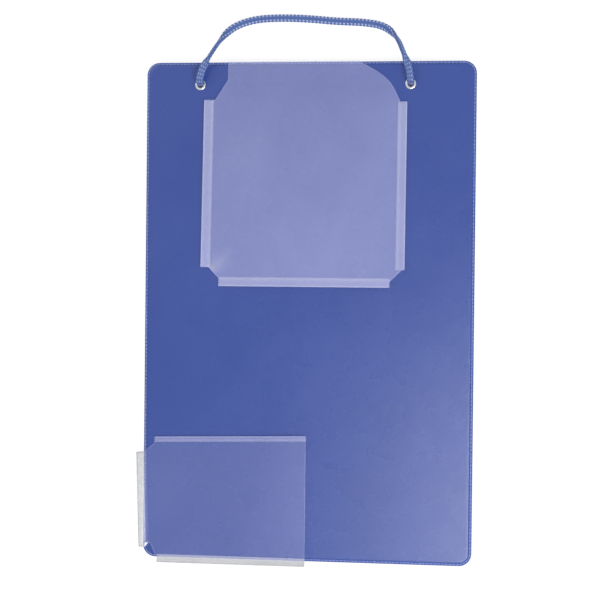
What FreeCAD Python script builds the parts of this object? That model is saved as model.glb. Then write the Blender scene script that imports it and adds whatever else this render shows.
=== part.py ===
import FreeCAD, Part
import math
import os

# A workshop clipboard, lying on its spring clip with the pocket side up.
# Millimetres. +Z is up, +Y runs towards the board's top edge, +X to the right as seen from the pockets.
# The origin is on the surface it lies on, under the centre of the rigid object's outline.
# Places on the board are written as (x from its centre line, distance down from its top edge).

# Board
BOARD_WIDTH = 230.6
BOARD_LENGTH = 348.4
CORNER_RADIUS = 8.8
CORE_THICKNESS = 2.4
COVER_THICKNESS = 0.3
WELD_RIM = 2.2
EDGE_ROUNDING = 0.9

# Eyelets and hanging cord
LEFT_EYELET_X = -77.0
RIGHT_EYELET_X = 70.0
EYELET_DOWN = 16.0
EYELET_BORE_RADIUS = 2.25
EYELET_BARREL_RADIUS = 2.6
EYELET_FLANGE_RADIUS = 3.8
EYELET_FLANGE_HEIGHT = 0.7
EYELET_DOME = 0.56
WASHER_HEIGHT = 0.6
BARREL_FLARE = 0.2
CORD_RADIUS = 2.1
CORD_PLAY = 0.25
CORD_ARC_SHARE = 0.45  # of the shorter of an arc's two runs
KNOT_RADIUS = 4.6
KNOT_HEIGHT = 6.0
KNOT_ROUNDING = 2.7

# Clear film pockets
FILM = 0.35
FILM_PLAY = 0.05
KEY_POCKET_GAP = 4.9
CARD_POCKET_GAP = 4.6
STRIP = 6.2
KEY_LEFT = -69.0
KEY_RIGHT = 61.8
KEY_BOTTOM = 150.8
KEY_STRIP_TOP = 27.0
KEY_STRIP_BOTTOM = 144.0
KEY_CORNER_LEFT = -62.8
KEY_CORNER_RIGHT = 56.7
KEY_TOP_LEFT = -57.3
KEY_TOP_RIGHT = 34.6
KEY_CHAMFER_DOWN = 12.8
KEY_NOTCH_DOWN = 152.8
KEY_SHOULDER_LEFT = -66.0
KEY_SHOULDER_RIGHT = 63.6
KEY_MOUTH = (56.0, 14.0)
FLAP_DOWN = 9.0
FLAP_RIGHT = 51.6
CARD_TOP = 262.4
CARD_TOP_WELD = 267.6
CARD_RIGHT = 0.0
CARD_TOP_LEFT = -107.0
CARD_SHOULDER = 273.8
CARD_FOOT = 341.0
CARD_BOTTOM_LEFT = -104.3
CARD_LEFT_WELD = -112.5
CARD_BOTTOM_WELD = 346.4
LEFT_OVERHANG = 3.9
BOTTOM_OVERHANG = 3.0

# Spring clip on the writing side
CLIP_PIN_DOWN = 21.0
PIN_HEIGHT = 4.4
PIN_RADIUS = 1.25
PIN_RUNNING = 0.06
PIN_HALF_LENGTH = 47.4
PIN_HEAD_RADIUS = 2.0
PIN_HEAD = 0.8
STEEL = 0.9
HUMP_RADIUS = 3.8
JAW_HALF_WIDTH = 46.9
LIP_SLOPE = 20.0
LIP_REACH = 18.2
LIP_ROLL = 1.1
LEVER_SLOPE = 2.0
LEVER_REACH = 16.0
LEVER_ROLL = 0.9
LEVER_HALF_WIDTH = 30.0
BASE_HALF_WIDTH = 45.0
BASE_BELOW_PIN = 12.0
BASE_ABOVE_PIN = 13.0
EAR_THICKNESS = 1.2
EAR_RADIUS = 2.4
RIVET_X = 30.0
RIVET_ABOVE_PIN = 7.0
RIVET_RADIUS = 1.6
RIVET_HEAD_RADIUS = 3.2
RIVET_HEAD_HEIGHT = 1.2
RIVET_DOME = 1.08
RIVET_FOOT_RADIUS = 3.0
RIVET_FOOT_HEIGHT = 0.5
SPRING_WIRE = 0.9
SPRING_INNER_RADIUS = 1.4
SPRING_TURNS = 9
SPRING_LEG = 10.0
SPRING_LEG_RADIUS = 0.4

# Heights, from the surface upwards
FRONT_Z = PIN_HEIGHT + HUMP_RADIUS
CORE_Z = FRONT_Z + COVER_THICKNESS
CORE_TOP_Z = CORE_Z + CORE_THICKNESS
BACK_Z = CORE_TOP_Z + COVER_THICKNESS
EYELET_TOP_Z = BACK_Z + EYELET_FLANGE_HEIGHT
CORD_PIVOT_Z = EYELET_TOP_Z + CORD_RADIUS
PIN_Z = FRONT_Z - PIN_HEIGHT

# Board's place: the outline of the board with its overhanging film is centred on the origin
CENTRE_X = LEFT_OVERHANG / 2
CENTRE_Y = BOTTOM_OVERHANG / 2
TOP_Y = CENTRE_Y + BOARD_LENGTH / 2

X_AXIS = FreeCAD.Vector(1, 0, 0)
Y_AXIS = FreeCAD.Vector(0, 1, 0)
Z_AXIS = FreeCAD.Vector(0, 0, 1)

# The cord's route from eyelet to eyelet: x from the board's centre line, y past its top edge, and height.
# It leaves each eyelet upwards, passes over the board's edge and lies down on the surface.
CORD_ROUTE = [
    (LEFT_EYELET_X, -EYELET_DOWN, CORD_PIVOT_Z),
    (-76.8, -12.2, 17.3),
    (-73.9, -4.6, 18.9),
    (-68.8, 4.6, 17.4),
    (-64.1, 13.9, 11.8),
    (-56.5, 24.6, 6.2),
    (-42.0, 30.9, 2.9),
    (-24.0, 32.2, 2.2),
    (-3.0, 31.4, 2.3),
    (18.0, 29.2, 2.2),
    (37.0, 28.4, 2.6),
    (51.8, 25.1, 5.4),
    (60.6, 15.9, 11.2),
    (64.9, 5.0, 17.0),
    (68.6, -4.6, 18.9),
    (69.9, -12.2, 17.3),
    (RIGHT_EYELET_X, -EYELET_DOWN, CORD_PIVOT_Z),
]


def at(x, down, z):
    return FreeCAD.Vector(CENTRE_X + x, TOP_Y - down, z)


def prism(points, bottom, top):
    """Upright solid on a straight-sided outline of (x, down) points."""
    corners = [at(x, down, bottom) for x, down in points]
    return Part.Face(Part.makePolygon(corners + corners[:1])).extrude(Z_AXIS * (top - bottom))


def cylinder(x, down, radius, bottom, top):
    return Part.makeCylinder(radius, top - bottom, at(x, down, bottom), Z_AXIS)


def cross_cylinder(radius, start_x, end_x, down, z):
    return Part.makeCylinder(radius, end_x - start_x, at(start_x, down, z), X_AXIS)


def board_slab(bottom, top, inset=0.0):
    """Rounded rectangle of the board's outline, drawn in by inset."""
    half = BOARD_WIDTH / 2 - inset
    slab = prism(
        [(-half, inset), (half, inset), (half, BOARD_LENGTH - inset), (-half, BOARD_LENGTH - inset)],
        bottom,
        top,
    )
    upright = [e for e in slab.Edges if abs(e.Vertexes[0].Z - e.Vertexes[-1].Z) > (top - bottom) / 2]
    return slab.makeFillet(CORNER_RADIUS - inset, upright)


def edges_at_height(shape, z):
    return [e for e in shape.Edges if abs(e.BoundBox.ZMin - z) < 1e-6 and e.BoundBox.ZLength < 1e-6]


def eyelet_places():
    return [("left", LEFT_EYELET_X), ("right", RIGHT_EYELET_X)]


def rivet_places():
    return [(-RIVET_X, CLIP_PIN_DOWN - RIVET_ABOVE_PIN), (RIVET_X, CLIP_PIN_DOWN - RIVET_ABOVE_PIN)]


def with_eyelet_holes(shape):
    holes = [cylinder(x, EYELET_DOWN, EYELET_BARREL_RADIUS, 0, EYELET_TOP_Z) for _, x in eyelet_places()]
    return shape.cut(Part.makeCompound(holes))


def with_rivet_holes(shape):
    holes = [cylinder(x, down, RIVET_RADIUS, 0, CORE_TOP_Z) for x, down in rivet_places()]
    feet = [
        cylinder(x, down, RIVET_FOOT_RADIUS, CORE_TOP_Z - RIVET_FOOT_HEIGHT, CORE_TOP_Z)
        for x, down in rivet_places()
    ]
    return shape.cut(Part.makeCompound(holes + feet))


def core_board():
    return with_rivet_holes(with_eyelet_holes(board_slab(CORE_Z, CORE_TOP_Z, WELD_RIM)))


def front_cover():
    slab = board_slab(FRONT_Z, CORE_Z)
    return with_rivet_holes(with_eyelet_holes(slab))


def back_cover():
    """Film over the back, with the welded rim that closes the sheath round the core's edge."""
    slab = board_slab(CORE_Z, BACK_Z)
    outer = edges_at_height(slab, BACK_Z)
    rounded = slab.makeFillet(EDGE_ROUNDING, outer)
    return with_eyelet_holes(rounded.cut(board_slab(CORE_Z, CORE_TOP_Z, WELD_RIM)))


def eyelet(x):
    flange = cylinder(x, EYELET_DOWN, EYELET_FLANGE_RADIUS, BACK_Z, EYELET_TOP_Z)
    rim = edges_at_height(flange, EYELET_TOP_Z)
    dome = flange.makeFillet(EYELET_DOME, rim)
    washer_z = FRONT_Z - WASHER_HEIGHT
    barrel = cylinder(x, EYELET_DOWN, EYELET_BARREL_RADIUS, washer_z - BARREL_FLARE, BACK_Z)
    flare_radius = (EYELET_BARREL_RADIUS + EYELET_FLANGE_RADIUS) / 2
    flare = cylinder(x, EYELET_DOWN, flare_radius, washer_z - BARREL_FLARE, washer_z)
    bore = cylinder(x, EYELET_DOWN, EYELET_BORE_RADIUS, washer_z - BARREL_FLARE, EYELET_TOP_Z)
    return dome.fuse([barrel, flare]).cut(bore).removeSplitter()


def eyelet_washer(x):
    ring = cylinder(x, EYELET_DOWN, EYELET_FLANGE_RADIUS, FRONT_Z - WASHER_HEIGHT, FRONT_Z)
    hole = cylinder(x, EYELET_DOWN, EYELET_BARREL_RADIUS, FRONT_Z - WASHER_HEIGHT, FRONT_Z)
    return ring.cut(hole)


def cord_end(x):
    """The cord's end inside its eyelet, with the stopper knot on the writing side."""
    knot_top = FRONT_Z - WASHER_HEIGHT - BARREL_FLARE
    knot = cylinder(x, EYELET_DOWN, KNOT_RADIUS, knot_top - KNOT_HEIGHT, knot_top)
    round_edges = [e for e in knot.Edges if isinstance(e.Curve, Part.Circle)]
    bead = knot.makeFillet(KNOT_ROUNDING, round_edges)
    stem = cylinder(x, EYELET_DOWN, CORD_RADIUS, knot_top - KNOT_HEIGHT / 2, EYELET_TOP_Z - CORD_PLAY)
    return bead.fuse(stem).removeSplitter()


def cord_path(points):
    """Straight runs joined by tangent arcs. Returns the wire and the arcs' radii."""
    edges = []
    radii = []
    start = points[0]
    for before, corner, after in zip(points, points[1:], points[2:]):
        into = corner - before
        out = after - corner
        trim = CORD_ARC_SHARE * min(into.Length, out.Length)
        turn = into.getAngle(out)
        into.normalize()
        out.normalize()
        radius = trim / math.tan(turn / 2)
        arc_start = corner - into * trim
        arc_end = corner + out * trim
        inward = out - into
        inward.normalize()
        middle = corner + inward * (math.hypot(radius, trim) - radius)
        edges.append(Part.LineSegment(start, arc_start).toShape())
        edges.append(Part.Arc(arc_start, middle, arc_end).toShape())
        radii.append(radius)
        start = arc_end
    edges.append(Part.LineSegment(start, points[-1]).toShape())
    return Part.Wire(edges), radii


def hanging_cord():
    """The free loop: a plain tube with a ball at each end, resting over the eyelets."""
    points = [at(x, -past, z) for x, past, z in CORD_ROUTE]
    path, radii = cord_path(points)
    first_run = points[1] - points[0]
    section = Part.Wire(Part.makeCircle(CORD_RADIUS, points[0], first_run))
    tube = path.makePipeShell([section], True, False)
    expected = math.pi * CORD_RADIUS**2 * path.Length
    print("cord length %.1f mm" % path.Length)
    print("cord arc radii, mm:", " ".join("%.1f" % r for r in radii))
    print("cord volume %.0f, section x length %.0f mm3" % (tube.Volume, expected))
    balls = [Part.makeSphere(CORD_RADIUS, p) for p in (points[0], points[-1])]
    return tube.fuse(balls)


def gusset(weld_start, weld_end, fold_start, gap):
    """Sloping film wall, from its weld line on the board up and out to the fold under the face."""
    weld = at(*weld_start, BACK_Z)
    run = at(*weld_end, BACK_Z) - weld
    rise = at(*fold_start, BACK_Z + gap - FILM_PLAY) - weld
    outward = FreeCAD.Vector(rise.x, rise.y, 0)
    inner = outward * (-FILM / outward.Length)
    corners = [weld, weld + rise, weld + rise + inner, weld + inner]
    return Part.Face(Part.makePolygon(corners + corners[:1])).extrude(run)


def key_pocket_outline(top_down):
    """Wire round the key pocket's face: strips at left, right and foot, and the curved mouth top right."""
    left = KEY_LEFT - STRIP
    right = KEY_RIGHT + STRIP
    foot = KEY_BOTTOM + STRIP
    z = BACK_Z + KEY_POCKET_GAP
    straight = [
        (KEY_SHOULDER_RIGHT, KEY_STRIP_TOP),
        (right, KEY_STRIP_TOP),
        (right, KEY_STRIP_BOTTOM),
        (KEY_RIGHT, KEY_STRIP_BOTTOM),
        (KEY_CORNER_RIGHT, KEY_NOTCH_DOWN),
        (KEY_CORNER_RIGHT, foot),
        (KEY_CORNER_LEFT, foot),
        (KEY_CORNER_LEFT, KEY_NOTCH_DOWN),
        (KEY_LEFT, KEY_STRIP_BOTTOM),
        (left, KEY_STRIP_BOTTOM),
        (left, KEY_STRIP_TOP),
        (KEY_SHOULDER_LEFT, KEY_STRIP_TOP),
        (KEY_TOP_LEFT, KEY_CHAMFER_DOWN),
        (KEY_TOP_LEFT, top_down),
        (FLAP_RIGHT, top_down),
    ]
    corners = [at(x, down, z) for x, down in straight]
    mouth = Part.Arc(corners[-1], at(*KEY_MOUTH, z), corners[0]).toShape()
    return Part.Wire(Part.makePolygon(corners).Edges + [mouth])


def key_pocket_face():
    return Part.Face(key_pocket_outline(FLAP_DOWN)).extrude(Z_AXIS * FILM)


def key_pocket_top_flap():
    """Film that comes down from the face to its weld on the board's top edge."""
    start = BACK_Z + KEY_POCKET_GAP
    plan = [
        (KEY_TOP_LEFT, 0),
        (KEY_TOP_RIGHT, 0),
        (FLAP_RIGHT, FLAP_DOWN + FILM_PLAY),
        (KEY_TOP_LEFT, FLAP_DOWN + FILM_PLAY),
    ]
    block = prism(plan, BACK_Z, start + FILM)
    x = KEY_TOP_LEFT
    side = [
        at(x, EDGE_ROUNDING, BACK_Z),
        at(x, EDGE_ROUNDING, BACK_Z + FILM),
        at(x, FLAP_DOWN - FILM_PLAY, start + FILM),
        at(x, FLAP_DOWN - FILM_PLAY, start),
    ]
    slope = Part.Face(Part.makePolygon(side + side[:1])).extrude(X_AXIS * (FLAP_RIGHT - x))
    return block.common(slope)


def key_pocket_gussets():
    left = KEY_LEFT - STRIP
    right = KEY_RIGHT + STRIP
    foot = KEY_BOTTOM + STRIP
    gap = KEY_POCKET_GAP
    return {
        "key_pocket_left_gusset": gusset(
            (KEY_LEFT, KEY_STRIP_TOP), (KEY_LEFT, KEY_STRIP_BOTTOM), (left, KEY_STRIP_TOP), gap
        ),
        "key_pocket_right_gusset": gusset(
            (KEY_RIGHT, KEY_STRIP_TOP), (KEY_RIGHT, KEY_STRIP_BOTTOM), (right, KEY_STRIP_TOP), gap
        ),
        "key_pocket_bottom_gusset": gusset(
            (KEY_CORNER_LEFT, KEY_BOTTOM), (KEY_CORNER_RIGHT, KEY_BOTTOM), (KEY_CORNER_LEFT, foot), gap
        ),
    }


def card_pocket_face():
    left = -BOARD_WIDTH / 2 - LEFT_OVERHANG
    foot = BOARD_LENGTH + BOTTOM_OVERHANG
    outline = [
        (CARD_TOP_LEFT, CARD_TOP),
        (CARD_RIGHT, CARD_TOP),
        (CARD_RIGHT, foot),
        (CARD_BOTTOM_LEFT, foot),
        (CARD_BOTTOM_LEFT, CARD_BOTTOM_WELD),
        (CARD_LEFT_WELD, CARD_FOOT),
        (left, CARD_FOOT),
        (left, CARD_SHOULDER),
        (CARD_LEFT_WELD, CARD_SHOULDER),
        (CARD_TOP_LEFT, CARD_TOP_WELD),
    ]
    low = BACK_Z + CARD_POCKET_GAP
    return prism(outline, low, low + FILM)


def card_pocket_gussets():
    left = -BOARD_WIDTH / 2 - LEFT_OVERHANG
    foot = BOARD_LENGTH + BOTTOM_OVERHANG
    gap = CARD_POCKET_GAP
    return {
        "card_pocket_top_gusset": gusset(
            (CARD_TOP_LEFT, CARD_TOP_WELD), (CARD_RIGHT, CARD_TOP_WELD), (CARD_TOP_LEFT, CARD_TOP), gap
        ),
        "card_pocket_left_gusset": gusset(
            (CARD_LEFT_WELD, CARD_SHOULDER), (CARD_LEFT_WELD, CARD_FOOT), (left, CARD_SHOULDER), gap
        ),
        "card_pocket_bottom_gusset": gusset(
            (CARD_BOTTOM_LEFT, CARD_BOTTOM_WELD),
            (CARD_RIGHT, CARD_BOTTOM_WELD),
            (CARD_BOTTOM_LEFT, foot),
            gap,
        ),
    }


def clip_base_plate():
    """Riveted plate with two ears that hold the hinge pin."""
    low = FRONT_Z - STEEL
    top = CLIP_PIN_DOWN - BASE_ABOVE_PIN
    foot = CLIP_PIN_DOWN + BASE_BELOW_PIN
    half = BASE_HALF_WIDTH
    plate = prism([(-half, top), (half, top), (half, foot), (-half, foot)], low, FRONT_Z)
    ears = []
    for start in (-half, half - EAR_THICKNESS):
        eye = cross_cylinder(EAR_RADIUS, start, start + EAR_THICKNESS, CLIP_PIN_DOWN, PIN_Z)
        web = prism(
            [
                (start, CLIP_PIN_DOWN - EAR_RADIUS),
                (start + EAR_THICKNESS, CLIP_PIN_DOWN - EAR_RADIUS),
                (start + EAR_THICKNESS, CLIP_PIN_DOWN + EAR_RADIUS),
                (start, CLIP_PIN_DOWN + EAR_RADIUS),
            ],
            PIN_Z,
            low,
        )
        ears += [eye, web]
    pin_hole = cross_cylinder(PIN_RADIUS, -half, half, CLIP_PIN_DOWN, PIN_Z)
    rivet_holes = [cylinder(x, down, RIVET_RADIUS, low, FRONT_Z) for x, down in rivet_places()]
    return plate.fuse(ears).cut(Part.makeCompound([pin_hole] + rivet_holes)).removeSplitter()


def clip_hinge_pin():
    shaft = cross_cylinder(PIN_RADIUS, -PIN_HALF_LENGTH, PIN_HALF_LENGTH, CLIP_PIN_DOWN, PIN_Z)
    ends = (-PIN_HALF_LENGTH - PIN_HEAD, PIN_HALF_LENGTH)
    heads = [cross_cylinder(PIN_HEAD_RADIUS, end, end + PIN_HEAD, CLIP_PIN_DOWN, PIN_Z) for end in ends]
    return shaft.fuse(heads)


def clip_rivets():
    """Two dome-headed rivets, flattened in a recess of the core under the back cover."""
    low = FRONT_Z - STEEL
    rivets = []
    for x, down in rivet_places():
        head = cylinder(x, down, RIVET_HEAD_RADIUS, low - RIVET_HEAD_HEIGHT, low)
        rim = edges_at_height(head, low - RIVET_HEAD_HEIGHT)
        dome = head.makeFillet(RIVET_DOME, rim)
        shank = cylinder(x, down, RIVET_RADIUS, low, CORE_TOP_Z)
        foot = cylinder(x, down, RIVET_FOOT_RADIUS, CORE_TOP_Z - RIVET_FOOT_HEIGHT, CORE_TOP_Z)
        rivets.append(dome.fuse([shank, foot]).removeSplitter())
    return Part.makeCompound(rivets)


def clip_spring():
    """Torsion spring: a close-wound coil on the pin, one leg on the base and one under the lever."""
    wire_radius = SPRING_WIRE / 2
    mean_radius = SPRING_INNER_RADIUS + wire_radius
    half = SPRING_TURNS * wire_radius

    def profile_point(along, radius):
        return at(along, CLIP_PIN_DOWN, PIN_Z + radius)

    inner = SPRING_INNER_RADIUS
    ends = [(half, mean_radius), (half, inner), (-half, inner), (-half, mean_radius)]
    outline = Part.makePolygon([profile_point(*end) for end in ends]).Edges
    for turn in range(SPRING_TURNS):
        start = -half + turn * SPRING_WIRE
        crest = profile_point(start + wire_radius, mean_radius + wire_radius)
        finish = profile_point(start + SPRING_WIRE, mean_radius)
        outline.append(Part.Arc(profile_point(start, mean_radius), crest, finish).toShape())
    coil = Part.Face(Part.Wire(outline)).revolve(profile_point(0, 0), X_AXIS, 360)
    base_leg_start = profile_point(-half + wire_radius, mean_radius)
    lever_leg_start = profile_point(half - wire_radius, -mean_radius)
    base_leg = Part.makeCylinder(SPRING_LEG_RADIUS, SPRING_LEG, base_leg_start, Y_AXIS * -1)
    lever_leg = Part.makeCylinder(SPRING_LEG_RADIUS, SPRING_LEG, lever_leg_start, Y_AXIS)
    return coil.fuse([base_leg, lever_leg])


def jaw_leg(slope, reach, half_width, roll, side):
    """Flat leg off the hump at a slope, with a rolled end. side is -1 to the lip, +1 to the lever."""
    angle = math.radians(slope)
    length = (reach - HUMP_RADIUS * math.sin(angle)) / math.cos(angle)
    middle = HUMP_RADIUS - STEEL / 2
    leg = Part.makeBox(2 * half_width, length, STEEL)
    leg.translate(FreeCAD.Vector(-half_width, 0, -HUMP_RADIUS))
    edge = Part.makeCylinder(roll, 2 * half_width, FreeCAD.Vector(-half_width, length, -middle), X_AXIS)
    bent = leg.fuse(edge)
    bent.rotate(FreeCAD.Vector(0, 0, 0), X_AXIS, slope)
    if side < 0:
        bent = bent.mirror(FreeCAD.Vector(0, 0, 0), Y_AXIS)
    bent.translate(at(0, CLIP_PIN_DOWN, PIN_Z))
    return bent


def clip_jaw():
    """Pressed steel jaw: a bend over the pin, a lip with a rolled edge, a thumb lever and two cheeks."""
    half = JAW_HALF_WIDTH
    hump = cross_cylinder(HUMP_RADIUS, -half, half, CLIP_PIN_DOWN, PIN_Z)
    hollow = cross_cylinder(HUMP_RADIUS - STEEL, -half + STEEL, half - STEEL, CLIP_PIN_DOWN, PIN_Z)
    bend_z = PIN_Z - (HUMP_RADIUS - STEEL) * math.cos(math.radians(LIP_SLOPE))
    open_side = Part.makeBox(2 * (half - STEEL), 2 * HUMP_RADIUS, 2 * HUMP_RADIUS)
    open_side.translate(at(-half + STEEL, CLIP_PIN_DOWN + HUMP_RADIUS, bend_z))
    lip = jaw_leg(LIP_SLOPE, LIP_REACH, half, LIP_ROLL, -1)
    lever = jaw_leg(LEVER_SLOPE, LEVER_REACH, LEVER_HALF_WIDTH, LEVER_ROLL, 1)
    pin_hole = cross_cylinder(PIN_RADIUS + PIN_RUNNING, -half, half, CLIP_PIN_DOWN, PIN_Z)
    shell = hump.cut(hollow).cut(open_side).fuse([lip, lever])
    return shell.cut(pin_hole).removeSplitter()


def all_nodes():
    nodes = {
        "core_board": core_board(),
        "front_cover": front_cover(),
        "back_cover": back_cover(),
        "hanging_cord": hanging_cord(),
        "key_pocket_face": key_pocket_face(),
        "key_pocket_top_flap": key_pocket_top_flap(),
        "card_pocket_face": card_pocket_face(),
        "clip_base_plate": clip_base_plate(),
        "clip_hinge_pin": clip_hinge_pin(),
        "clip_rivets": clip_rivets(),
        "clip_spring": clip_spring(),
        "clip_jaw": clip_jaw(),
    }
    for side, x in eyelet_places():
        nodes[side + "_eyelet"] = eyelet(x)
        nodes[side + "_eyelet_washer"] = eyelet_washer(x)
        nodes[side + "_cord_end"] = cord_end(x)
    nodes.update(key_pocket_gussets())
    nodes.update(card_pocket_gussets())
    return nodes


os.makedirs("parts", exist_ok=True)
for name, shape in all_nodes().items():
    box = shape.BoundBox
    extent = (box.XMin, box.XMax, box.YMin, box.YMax, box.ZMin, box.ZMax)
    span = "x %.1f..%.1f y %.1f..%.1f z %.1f..%.1f" % extent
    print(name, len(shape.Solids), "solids, valid:", shape.isValid(), span)
    shape.exportStep("parts/%s.step" % name)
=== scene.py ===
import bmesh
import bpy
import math
import numpy as np
from mathutils import Euler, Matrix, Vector
from mathutils.geometry import delaunay_2d_cdt


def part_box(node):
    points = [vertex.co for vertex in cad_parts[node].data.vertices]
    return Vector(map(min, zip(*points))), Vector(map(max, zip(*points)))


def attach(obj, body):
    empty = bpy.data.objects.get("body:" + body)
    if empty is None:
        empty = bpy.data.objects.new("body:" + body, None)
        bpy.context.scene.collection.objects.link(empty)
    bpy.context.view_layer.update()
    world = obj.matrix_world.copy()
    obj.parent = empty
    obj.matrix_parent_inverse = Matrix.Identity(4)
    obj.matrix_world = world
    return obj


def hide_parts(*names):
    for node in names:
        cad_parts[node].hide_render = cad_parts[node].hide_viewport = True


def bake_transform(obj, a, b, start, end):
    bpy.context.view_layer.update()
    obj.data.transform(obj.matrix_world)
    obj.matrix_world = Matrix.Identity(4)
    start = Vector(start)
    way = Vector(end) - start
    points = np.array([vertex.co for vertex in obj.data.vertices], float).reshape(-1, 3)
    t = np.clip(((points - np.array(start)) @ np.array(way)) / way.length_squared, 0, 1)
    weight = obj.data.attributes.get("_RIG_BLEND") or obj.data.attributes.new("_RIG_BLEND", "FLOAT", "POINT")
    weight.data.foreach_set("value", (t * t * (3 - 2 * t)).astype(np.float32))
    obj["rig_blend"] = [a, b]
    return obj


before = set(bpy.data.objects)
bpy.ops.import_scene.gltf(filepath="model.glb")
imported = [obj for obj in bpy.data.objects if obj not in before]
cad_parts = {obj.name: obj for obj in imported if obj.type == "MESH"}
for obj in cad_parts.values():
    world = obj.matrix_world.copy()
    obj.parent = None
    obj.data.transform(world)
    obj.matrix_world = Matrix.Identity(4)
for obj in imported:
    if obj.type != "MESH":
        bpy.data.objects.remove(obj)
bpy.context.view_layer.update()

# Places: x runs from the board's centre line and down from its top edge, both in millimetres, and heights
# are in metres
MM = 0.001
FRONT_LOW, FRONT_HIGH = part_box("front_cover")
CENTRE_X = (FRONT_LOW.x + FRONT_HIGH.x) / 2
TOP_Y = FRONT_HIGH.y
HALF_WIDTH = (FRONT_HIGH.x - FRONT_LOW.x) / 2 / MM
BOARD_LENGTH = (FRONT_HIGH.y - FRONT_LOW.y) / MM
FRONT_Z = FRONT_LOW.z
SEAM_Z = FRONT_HIGH.z
BACK_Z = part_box("back_cover")[1].z
CORNER_RADIUS = 8.8
# The eyelets' place, and the radius of the holes that they sit in
EYELET_DOWN = 16.0
EYELET_RADIUS = 2.6
KEY_FACE_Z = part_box("key_pocket_face")[1].z
CARD_FACE_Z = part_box("card_pocket_face")[1].z


def at(x, down, z):
    """The point of the shared frame at x and down, in millimetres, and z, in metres."""
    return Vector((CENTRE_X + x * MM, TOP_Y - down * MM, z))


def eyelet_x(side):
    """x of an eyelet's middle."""
    low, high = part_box(side + "_eyelet")
    return ((low.x + high.x) / 2 - CENTRE_X) / MM


# ---------------- materials

# A colour mix node's sockets, by number, because several of its sockets share each name
MIX_FIRST = 6
MIX_SECOND = 7
MIX_RESULT = 2
# How much darker the dulled patches of a metal are
METAL_DULLED = 0.12


class Material:
    """A node material with its Principled shader, and short ways to add and join nodes."""

    def __init__(self, name):
        self.material = bpy.data.materials.new(name)
        self.material.use_nodes = True
        self.nodes = self.material.node_tree.nodes
        self.shader = self.nodes["Principled BSDF"]
        self.position = self.add("ShaderNodeTexCoord").outputs["Object"]

    def add(self, kind, **settings):
        node = self.nodes.new(kind)
        for name, value in settings.items():
            setattr(node, name, value)
        return node

    def join(self, output, socket):
        self.material.node_tree.links.new(output, socket)

    def set(self, **values):
        for name, value in values.items():
            self.shader.inputs[name.replace("_", " ")].default_value = value

    def stretched(self, scale):
        mapping = self.add("ShaderNodeMapping")
        mapping.inputs["Scale"].default_value = scale
        self.join(self.position, mapping.inputs["Vector"])
        return mapping.outputs["Vector"]

    def noise(self, scale, detail=3.0, roughness=0.5, vector=None):
        node = self.add("ShaderNodeTexNoise")
        node.inputs["Scale"].default_value = scale
        node.inputs["Detail"].default_value = detail
        node.inputs["Roughness"].default_value = roughness
        self.join(vector or self.position, node.inputs["Vector"])
        return node.outputs["Fac"]

    def cells(self, scale):
        node = self.add("ShaderNodeTexVoronoi")
        node.inputs["Scale"].default_value = scale
        self.join(self.position, node.inputs["Vector"])
        return node.outputs["Distance"]

    def attribute(self, name):
        return self.add("ShaderNodeAttribute", attribute_name=name).outputs["Fac"]

    def ramp(self, value, low, high, to_low=0.0, to_high=1.0):
        node = self.add("ShaderNodeMapRange")
        limits = {"From Min": low, "From Max": high, "To Min": to_low, "To Max": to_high}
        for name, number in limits.items():
            node.inputs[name].default_value = number
        self.join(value, node.inputs["Value"])
        return node.outputs["Result"]

    def math(self, operation, first, second):
        node = self.add("ShaderNodeMath", operation=operation)
        for value, socket in zip((first, second), node.inputs):
            if isinstance(value, (int, float)):
                socket.default_value = value
            else:
                self.join(value, socket)
        return node.outputs["Value"]

    def mix(self, factor, first, second):
        node = self.add("ShaderNodeMix", data_type="RGBA")
        self.join(factor, node.inputs["Factor"])
        for value, socket in ((first, node.inputs[MIX_FIRST]), (second, node.inputs[MIX_SECOND])):
            if isinstance(value, tuple):
                socket.default_value = (*value, 1.0)
            else:
                self.join(value, socket)
        return node.outputs[MIX_RESULT]

    def colour(self, output):
        self.join(output, self.shader.inputs["Base Color"])

    def roughness(self, output):
        self.join(output, self.shader.inputs["Roughness"])

    def bump(self, height, distance, strength=1.0):
        node = self.add("ShaderNodeBump")
        node.inputs["Strength"].default_value = strength
        node.inputs["Distance"].default_value = distance
        self.join(height, node.inputs["Height"])
        self.join(node.outputs["Normal"], self.shader.inputs["Normal"])


def cover_film_material():
    """Blue soft PVC with a fine embossed grain, whitened in the dashes of its seam."""
    deep_blue = (0.020, 0.045, 0.212)
    mid_blue = (0.0245, 0.054, 0.246)
    light_blue = (0.0315, 0.063, 0.266)
    seam_blue = (0.27, 0.36, 0.70)
    m = Material("blue_cover_film")
    grain = m.math("ADD", m.cells(1500.0), m.noise(2600.0, 2.0))
    cloud = m.noise(14.0, 4.0)
    base = m.mix(m.ramp(cloud, 0.3, 0.7), mid_blue, light_blue)
    fine = m.mix(m.ramp(grain, 0.5, 1.3, 0.0, 0.5), deep_blue, base)
    pitted = m.mix(m.ramp(grain, 0.45, 0.9), fine, base)
    m.colour(m.mix(m.ramp(m.attribute("seam"), 0.0, 1.0, 0.0, 0.75), pitted, seam_blue))
    m.roughness(m.ramp(m.noise(60.0, 5.0), 0.3, 0.7, 0.25, 0.30))
    m.bump(grain, 0.00006, 0.55)
    m.set(Specular_IOR_Level=0.5)
    return m.material


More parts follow.
